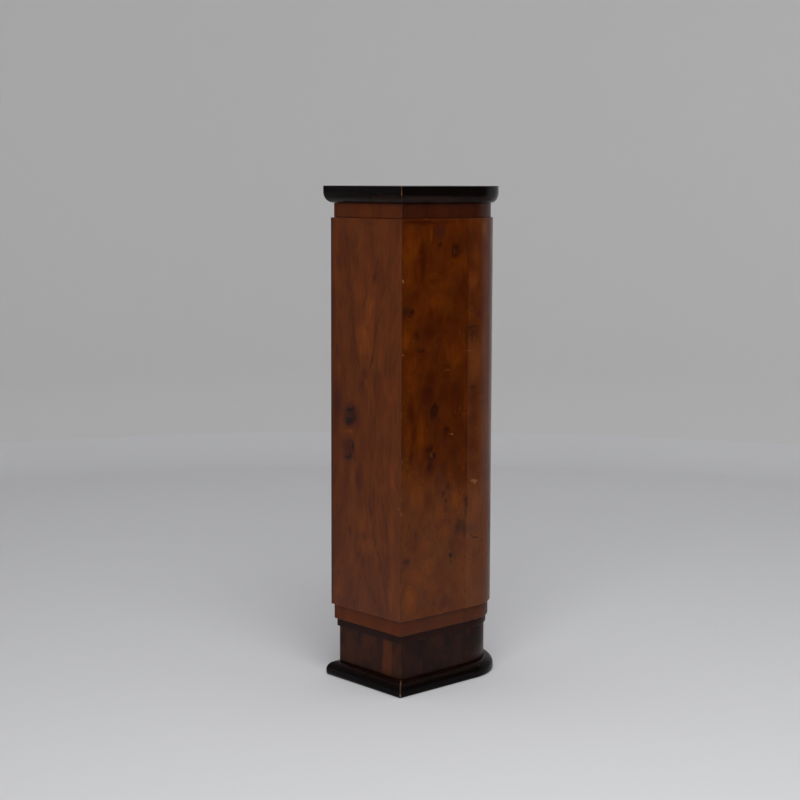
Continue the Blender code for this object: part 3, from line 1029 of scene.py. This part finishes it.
@dataclass
class Tier:
    """One tier: a moulding profile swept round two square back corners and a half-round front.

    Profile points are (distance in from the outermost face, height above the tier's underside).
    """

    node: str
    slot: str
    front_steps: int = 96
    round_steps: int = 12
    eased: float = 0.0010
    eased_steps: int = 3
    sharp: float = math.radians(30)
    weld: float = 0.00001
    level_from: float = 0.95
    back_from: float = 0.75
    back_depth: float = 0.03
    flatness: float = 1e-4

    def __post_init__(self) -> None:
        """Takes the tier's place and outer size from its CAD node."""
        low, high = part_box(self.node)
        self.half = high.x
        self.back = high.y
        self.centre = low.y + high.x
        self.bottom = low.z
        self.top = high.z

    @property
    def height(self) -> float:
        """The tier's height."""
        return self.top - self.bottom

    def profile(self) -> Profile:
        """Upright faces from the underside to the top."""
        return [(0.0, 0.0), (0.0, self.height)]

    def quarter(self, reach: float, rise: float) -> Iterable[tuple[float, float]]:
        """Points along a quarter round that starts level and ends upright.

        Args:
            reach: How far it goes out.
            rise: How far it goes up.

        Yields:
            The way out and the way up.
        """
        for step in range(1, self.round_steps + 1):
            angle = math.pi / 2 * step / self.round_steps
            yield reach * math.sin(angle), rise * (1 - math.cos(angle))

    def sweep(self) -> bmesh.types.BMesh:
        """Spins the profile round the front, runs it to two mitres and joins them.

        Returns:
            The closed body.
        """
        bm = bmesh.new()
        points = [(inset - self.half, self.centre, self.bottom + up) for inset, up in self.profile()]
        chain = [bm.verts.new(point) for point in points]
        start = [bm.edges.new(pair) for pair in zip(chain, chain[1:])]
        spun = bmesh.ops.spin(
            bm,
            geom=chain + start,
            cent=(0.0, self.centre, 0.0),
            axis=(0.0, 0.0, 1.0),
            angle=math.pi,
            steps=self.front_steps,
        )
        end = [item for item in spun["geom_last"] if isinstance(item, bmesh.types.BMEdge)]
        mitres = []
        for edges in (start, end):
            run = bmesh.ops.extrude_edge_only(bm, edges=edges)["geom"]
            for vert in run:
                if isinstance(vert, bmesh.types.BMVert):
                    vert.co.y = self.back - (self.half - abs(vert.co.x))
            drawn = [item for item in run if isinstance(item, bmesh.types.BMEdge)]
            mitres += [edge for edge in drawn if self.is_mitre(edge)]
        bmesh.ops.bridge_loops(bm, edges=mitres)
        bmesh.ops.holes_fill(bm, edges=[edge for edge in bm.edges if edge.is_boundary], sides=0)
        bmesh.ops.remove_doubles(bm, verts=bm.verts, dist=self.weld)
        bmesh.ops.recalc_face_normals(bm, faces=bm.faces)
        return bm

    def is_mitre(self, edge: bmesh.types.BMEdge) -> bool:
        """Whether an edge lies in one of the two back corners."""
        off = (abs(vert.co.y - self.back + self.half - abs(vert.co.x)) for vert in edge.verts)
        return max(off) < SAME_PLACE

    def ease(self, bm: bmesh.types.BMesh) -> None:
        """Rounds the arrises a little and marks the narrow faces.

        Args:
            bm: The body.
        """
        bm.normal_update()
        edges = [edge for edge in bm.edges if edge.calc_face_angle(0.0) > self.sharp]
        made = bmesh.ops.bevel(
            bm,
            geom=edges,
            offset=self.eased,
            offset_type="OFFSET",
            segments=self.eased_steps,
            profile=0.5,
            affect="EDGES",
            material=-1,
            clamp_overlap=True,
        )
        layer = bm.loops.layers.float.new("arris")
        for face in made["faces"]:
            for loop in face.loops:
                loop[layer] = 1.0

    def round_way(self, place: Vector) -> float:
        """The way round the outline from the -X back arris, over the front, in metres.

        Args:
            place: A point on the face.

        Returns:
            The distance along the face.
        """
        side = self.back - self.centre
        if place.y >= self.centre:
            if place.x < 0:
                return self.back - place.y
            return side + math.pi * self.half + place.y - self.centre
        angle = math.atan2(self.centre - place.y, -place.x)
        return side + self.half * angle

    def dress(self, bm: bmesh.types.BMesh) -> None:
        """Gives every face its map, its material slot and its shading.

        Args:
            bm: The body.
        """
        layer = bm.loops.layers.uv.new("face_metres")
        bm.normal_update()
        for face in bm.faces:
            middle = face.calc_center_median()
            if abs(face.normal.z) > self.level_from:
                part = Part.LEVEL
            elif face.normal.y > self.back_from and middle.y > self.back - self.back_depth:
                part = Part.BACK
            else:
                part = Part.SIDE
            face.material_index = part.value
            squareness = max(abs(face.normal.x), abs(face.normal.y))
            face.smooth = part is not Part.LEVEL and abs(squareness - 1.0) >= self.flatness
            for loop in face.loops:
                place = loop.vert.co
                if part is Part.LEVEL:
                    loop[layer].uv = (place.x, place.y)
                elif part is Part.BACK:
                    loop[layer].uv = (place.x + self.half, place.z)
                else:
                    loop[layer].uv = (self.round_way(place), place.z)

    def wear(self, bm: bmesh.types.BMesh) -> None:
        """Leaves the body as it is; a tier with dents overrides this."""

    def materials(self) -> Sequence[bpy.types.Material]:
        """The materials for the back, the sides and the level faces."""
        raise NotImplementedError

    def build(self) -> bpy.types.Object:
        """Makes the tier and puts it in the place of its CAD node.

        Returns:
            The finished piece.
        """
        bm = self.sweep()
        self.ease(bm)
        self.wear(bm)
        self.dress(bm)
        piece = finished(bm, f"{self.node}_piece", self.materials())
        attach(piece, SEAT_NAME)
        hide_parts(self.node)
        log.info("%s: %d faces", piece.name, len(piece.data.polygons))
        return piece


@dataclass
class Shaft(Tier):
    """The tall veneered shaft, with small nicks along its -X back arris."""

    node: str = "shaft"
    slot: str = "burr_veneer"
    nicks: tuple[tuple[float, float, float], ...] = (
        (0.8985, 0.0050, 0.0007),
        (0.7410, 0.0035, 0.0008),
        (0.5120, 0.0085, 0.0008),
        (0.4080, 0.0050, 0.0009),
        (0.6150, 0.0030, 0.0004),
        (0.3050, 0.0040, 0.0004),
        (0.9700, 0.0030, 0.0003),
    )
    nick_cuts: int = 7
    nick_width: float = 0.0016
    fence: float = 0.003

    def wear(self, bm: bmesh.types.BMesh) -> None:
        """Cuts rings round each nick's height and presses the arris in there.

        Args:
            bm: The body.
        """
        cuts = [
            ((self.fence - self.half, 0.0, 0.0), (1.0, 0.0, 0.0)),
            ((0.0, self.back - self.fence, 0.0), (0.0, 1.0, 0.0)),
        ]
        for height, half_length, _ in self.nicks:
            for cut in range(self.nick_cuts):
                level = height + half_length * (2 * cut / (self.nick_cuts - 1) - 1)
                cuts.append(((0.0, 0.0, level), UPWARD))
        for point, direction in cuts:
            geometry = [*bm.verts, *bm.edges, *bm.faces]
            bmesh.ops.bisect_plane(
                bm, geom=geometry, dist=SAME_PLACE, plane_co=point, plane_no=direction
            )
        corner = Vector((-self.half, self.back))
        inward = Vector((1.0, -1.0, 0.0)).normalized()
        for height, half_length, depth in self.nicks:
            for vert in bm.verts:
                away = (vert.co.xy - corner).length
                along = abs(vert.co.z - height) / half_length
                if away < self.nick_width and along < 1.0:
                    vert.co += inward * depth * math.cos(along * math.pi / 2)

    def materials(self) -> Sequence[bpy.types.Material]:
        """Plain veneer on the back, burr round the sides and front, dark edges above and below."""
        ledge = BandVeneer("shaft_ledge", (0.120, 0.0300, 0.0080), (0.070, 0.0170, 0.0050))
        return BackVeneer().material(), BurrVeneer().material(), ledge.material()


@dataclass
class Band(Tier):
    """A straight band, with one veneer all round or another on the back; the neck's darker sides are
    painted shade.
    """

    finish: BandVeneer | None = None
    back_finish: BandVeneer | None = None

    def materials(self) -> Sequence[bpy.types.Material]:
        """The sides' finish everywhere, unless the back has its own.

        Returns:
            The materials for the back, the sides and the level faces.
        """
        sides = self.finish.material()
        back = self.back_finish.material() if self.back_finish else sides
        return back, sides, sides


@dataclass
class Cap(Tier):
    """The black cap: an upright fascia over a quarter round that leaves a narrow soffit."""

    node: str = "cap"
    slot: str = "ebonised_wood"
    reach: float = 0.015
    drop: float = 0.024
    thin_below: float = 0.020
    worn_from: float = 0.016

    def profile(self) -> Profile:
        """From the soffit, round the lower edge and up the fascia.

        Returns:
            The profile's points.
        """
        points = [(self.reach, 0.0)]
        points += [(self.reach - out, up) for out, up in self.quarter(self.reach, self.drop)]
        return points + [(0.0, self.height)]

    def materials(self) -> Sequence[bpy.types.Material]:
        """Black polish all over."""
        polish = Ebonised(
            "ebonised_cap",
            self.half,
            self.back,
            brown_below=self.bottom + self.thin_below,
            mitre_from=self.bottom + self.worn_from,
        )
        return (polish.material(),) * len(Part)


@dataclass
class Base(Tier):
    """The black base: a small round at the floor, an upright face and a wide round up to the plinth."""

    node: str = "base_moulding"
    slot: str = "ebonised_wood"
    foot_reach: float = 0.004
    foot_rise: float = 0.008
    reach: float = 0.020
    rise: float = 0.020

    def profile(self) -> Profile:
        """From the floor, over the foot, up the face and over the wide round.

        Returns:
            The profile's points.
        """
        points = [(self.foot_reach, 0.0)]
        foot = self.quarter(self.foot_reach, self.foot_rise)
        points += [(self.foot_reach - out, up) for out, up in foot]
        upper = [(self.reach, self.height)]
        wide = self.quarter(self.reach, self.rise)
        upper += [(self.reach - out, self.height - down) for out, down in wide]
        return points + upper[::-1]

    def materials(self) -> Sequence[bpy.types.Material]:
        """Black polish all over, brown on the upper round from wear and painted sheen."""
        polish = Ebonised(
            "ebonised_base",
            self.half,
            self.back,
            brown=(0.0095, 0.0032, 0.0018),
            bare=(0.3000, 0.1600, 0.0950),
            brown_above=0.020,
            mitre_width=0.0032,
            specular=0.055,
        )
        return (polish.material(),) * len(Part)


@dataclass
class Studio:
    """A round pale studio with a coved floor, soft lights and the camera.

    The camera's place is given along its own directions from the pedestal's -X back arris.
    """

    corner: tuple[float, float] = (-0.1165, 0.170)
    turn: float = math.radians(47.7852)
    pitch: float = math.radians(6.1793)
    roll: float = math.radians(0.1712)
    sideways: float = 0.0032211
    distance: float = 3.5819178
    eye: float = 1.1130141
    focal_pixels: float = 1701.22
    shift_pixels: float = -36.0
    room_depth: float = 3.0
    room_radius: float = 3.9
    wall_height: float = 3.4
    cove: float = 0.35
    sky: float = 0.42
    floor_ring: float = 0.5
    floor_share: float = 0.3
    cove_steps: int = 12
    room_steps: int = 96
    weld: float = 0.0001
    far_clip: float = 50.0
    light_size: float = 2.2
    light_power: float = 54.0

    def __post_init__(self) -> None:
        """Works out the picture's directions on the floor."""
        self.right = Vector((-math.cos(self.turn), -math.sin(self.turn), 0.0))
        self.away = Vector((math.sin(self.turn), -math.cos(self.turn), 0.0))

    def spot(self, right: float, away: float, height: float) -> Vector:
        """A place to the picture's right, away from the camera and above the floor, from the middle."""
        return self.right * right + self.away * away + UPWARD * height

    def eye_place(self) -> Vector:
        """Where the camera stands."""
        return Vector((*self.corner, 0.0)) + self.spot(-self.sideways, -self.distance, self.eye)

    def camera(self) -> None:
        """Makes the scene's camera."""
        data = bpy.data.cameras.new("camera")
        data.sensor_width = SENSOR_WIDTH
        data.lens = self.focal_pixels * SENSOR_WIDTH / PICTURE_PIXELS
        data.shift_y = self.shift_pixels / PICTURE_PIXELS
        data.clip_end = self.far_clip
        ahead = self.away * math.cos(self.pitch) - UPWARD * math.sin(self.pitch)
        upward = (-ahead).cross(self.right)
        turned = Matrix((self.right, upward, -ahead)).transposed().to_4x4()
        body = bpy.data.objects.new("camera", data)
        rolled = Matrix.Rotation(self.roll, 4, "Z")
        body.matrix_world = Matrix.Translation(self.eye_place()) @ turned @ rolled
        bpy.context.scene.collection.objects.link(body)
        bpy.context.scene.camera = body

    def room(self) -> None:
        """Makes the floor and the wall as one coved sheet."""
        bm = bmesh.new()
        middle = self.eye_place() + self.away * self.room_depth
        radius, cove = self.room_radius, self.cove
        outline = [(0.0, 0.0), (radius * self.floor_ring, 0.0), (radius - cove, 0.0)]
        for step in range(1, self.cove_steps + 1):
            angle = math.pi / 2 * step / self.cove_steps
            outline.append((radius - cove * (1 - math.sin(angle)), cove * (1 - math.cos(angle))))
        outline.append((radius, self.wall_height))
        chain = [bm.verts.new((middle.x + out, middle.y, up)) for out, up in outline]
        edges = [bm.edges.new(pair) for pair in zip(chain, chain[1:])]
        bmesh.ops.spin(
            bm,
            geom=chain + edges,
            cent=(middle.x, middle.y, 0.0),
            axis=(0.0, 0.0, 1.0),
            angle=2 * math.pi,
            steps=self.room_steps,
            use_merge=True,
        )
        bmesh.ops.remove_doubles(bm, verts=bm.verts, dist=self.weld)
        bmesh.ops.recalc_face_normals(bm, faces=bm.faces)
        for face in bm.faces:
            face.smooth = True
            face.material_index = int(face.calc_center_median().z >= cove * self.floor_share)
        paints = Paint("floor_paint", (0.790, 0.797, 0.818)), Paint("wall_paint", (0.780, 0.772, 0.772))
        room = finished(bm, "studio_room", [paint.material() for paint in paints])

    def card(self, name: str, tone: float, middle: Vector, first: Vector, second: Vector) -> None:
        """A card beside the pedestal that only its polish mirrors.

        Args:
            name: Its name.
            tone: How pale it is, from nought to one.
            middle: Its middle.
            first: One side, by its direction and length.
            second: The side square to it.
        """
        bm = bmesh.new()
        bmesh.ops.create_grid(bm, x_segments=1, y_segments=1, size=0.5)
        card = finished(bm, name, [Paint(f"{name}_paint", (tone, tone, tone)).material()])
        sides = Matrix((first, second, first.cross(second).normalized())).transposed().to_4x4()
        card.data.transform(Matrix.Translation(middle) @ sides)
        card.visible_camera = card.visible_diffuse = card.visible_shadow = False

    def light(self, name: str, place: Vector, aim: Vector) -> None:
        """A square soft light.

        Args:
            name: Its name.
            place: Where it hangs.
            aim: What it points at.
        """
        data = bpy.data.lights.new(name, "AREA")
        data.shape = "SQUARE"
        data.size = self.light_size
        data.energy = self.light_power
        lamp = bpy.data.objects.new(name, data)
        turned = (aim - place).to_track_quat("-Z", "Y").to_matrix().to_4x4()
        lamp.matrix_world = Matrix.Translation(place) @ turned
        lamp.visible_glossy = False
        bpy.context.scene.collection.objects.link(lamp)

    def lights(self) -> None:
        """Hangs the lights and sets the glow from above."""
        world = bpy.data.worlds.new("studio_glow")
        world.use_nodes = True
        glow = world.node_tree.nodes["Background"]
        glow.inputs["Color"].default_value = (1.0, 1.0, 1.0, 1.0)
        glow.inputs["Strength"].default_value = self.sky
        bpy.context.scene.world = world
        self.light("front_light", self.spot(0.25, -2.0, 2.9), self.spot(1.0, -0.7, 0.0))

    def build(self) -> None:
        """Makes everything round the pedestal."""
        self.room()
        right, away = self.right, self.away
        self.card("dark_card", 0.012, self.spot(2.35, -0.60, 0.95), away * 2.2, UPWARD * 1.9)
        self.card("side_card", 0.46, self.spot(2.35, 2.85, 0.95), away * 1.8, UPWARD * 1.9)
        self.card("grey_card", 0.42, self.spot(-2.0, 0.10, 1.20), away * 2.8, UPWARD * 2.4)
        self.card("floor_card", 0.46, self.spot(1.10, 1.00, 0.004), right * 1.7, away * 1.9)
        self.lights()
        self.camera()
        bpy.context.scene.view_settings.view_transform = "Standard"


def tiers() -> list[Tier]:
    """Names the seven tiers and gives them their finishes.

    Returns:
        The tiers, from the floor up.
    """
    plinth = StainedPlinth("plinth_sides", (0.029, 0.0058, 0.0014), (0.0095, 0.0020, 0.0010), 0.13)
    plinth_back = StainedPlinth("plinth_back", (0.060, 0.0124, 0.0020), (0.021, 0.0042, 0.0012), 0.12)
    fillet = BandVeneer("dark_fillet", (0.026, 0.0046, 0.0024), (0.016, 0.0028, 0.0018), 0.10)
    lower = BandVeneer("lower_band", (0.098, 0.0200, 0.0022), (0.066, 0.0130, 0.0018), 0.15)
    lower_back = BandVeneer("lower_band_back", (0.136, 0.0262, 0.0024), (0.091, 0.0164, 0.0016), 0.12)
    # The neck band's sides are darker than its back: painted shade under the cap.
    neck = BandVeneer("neck_band", (0.066, 0.0106, 0.0004), (0.032, 0.0046, 0.0003), 0.19)
    neck_back = BandVeneer("neck_band_back", (0.146, 0.0280, 0.0014), (0.076, 0.0134, 0.0010), 0.16)
    return [
        Base(),
        Band("plinth", "dark_stained_wood", finish=plinth, back_finish=plinth_back),
        Band("fillet", "dark_stained_wood", finish=fillet),
        Band("lower_band", "walnut_veneer", finish=lower, back_finish=lower_back),
        Shaft(),
        Band("neck_band", "walnut_veneer", finish=neck, back_finish=neck_back),
        Cap(),
    ]


def main() -> None:
    """Builds the tiers and the studio."""
    logging.basicConfig(level=logging.INFO, format="%(name)s: %(message)s")
    for tier in tiers():
        tier.build()
    Studio().build()


if __name__ == "__main__":
    main()
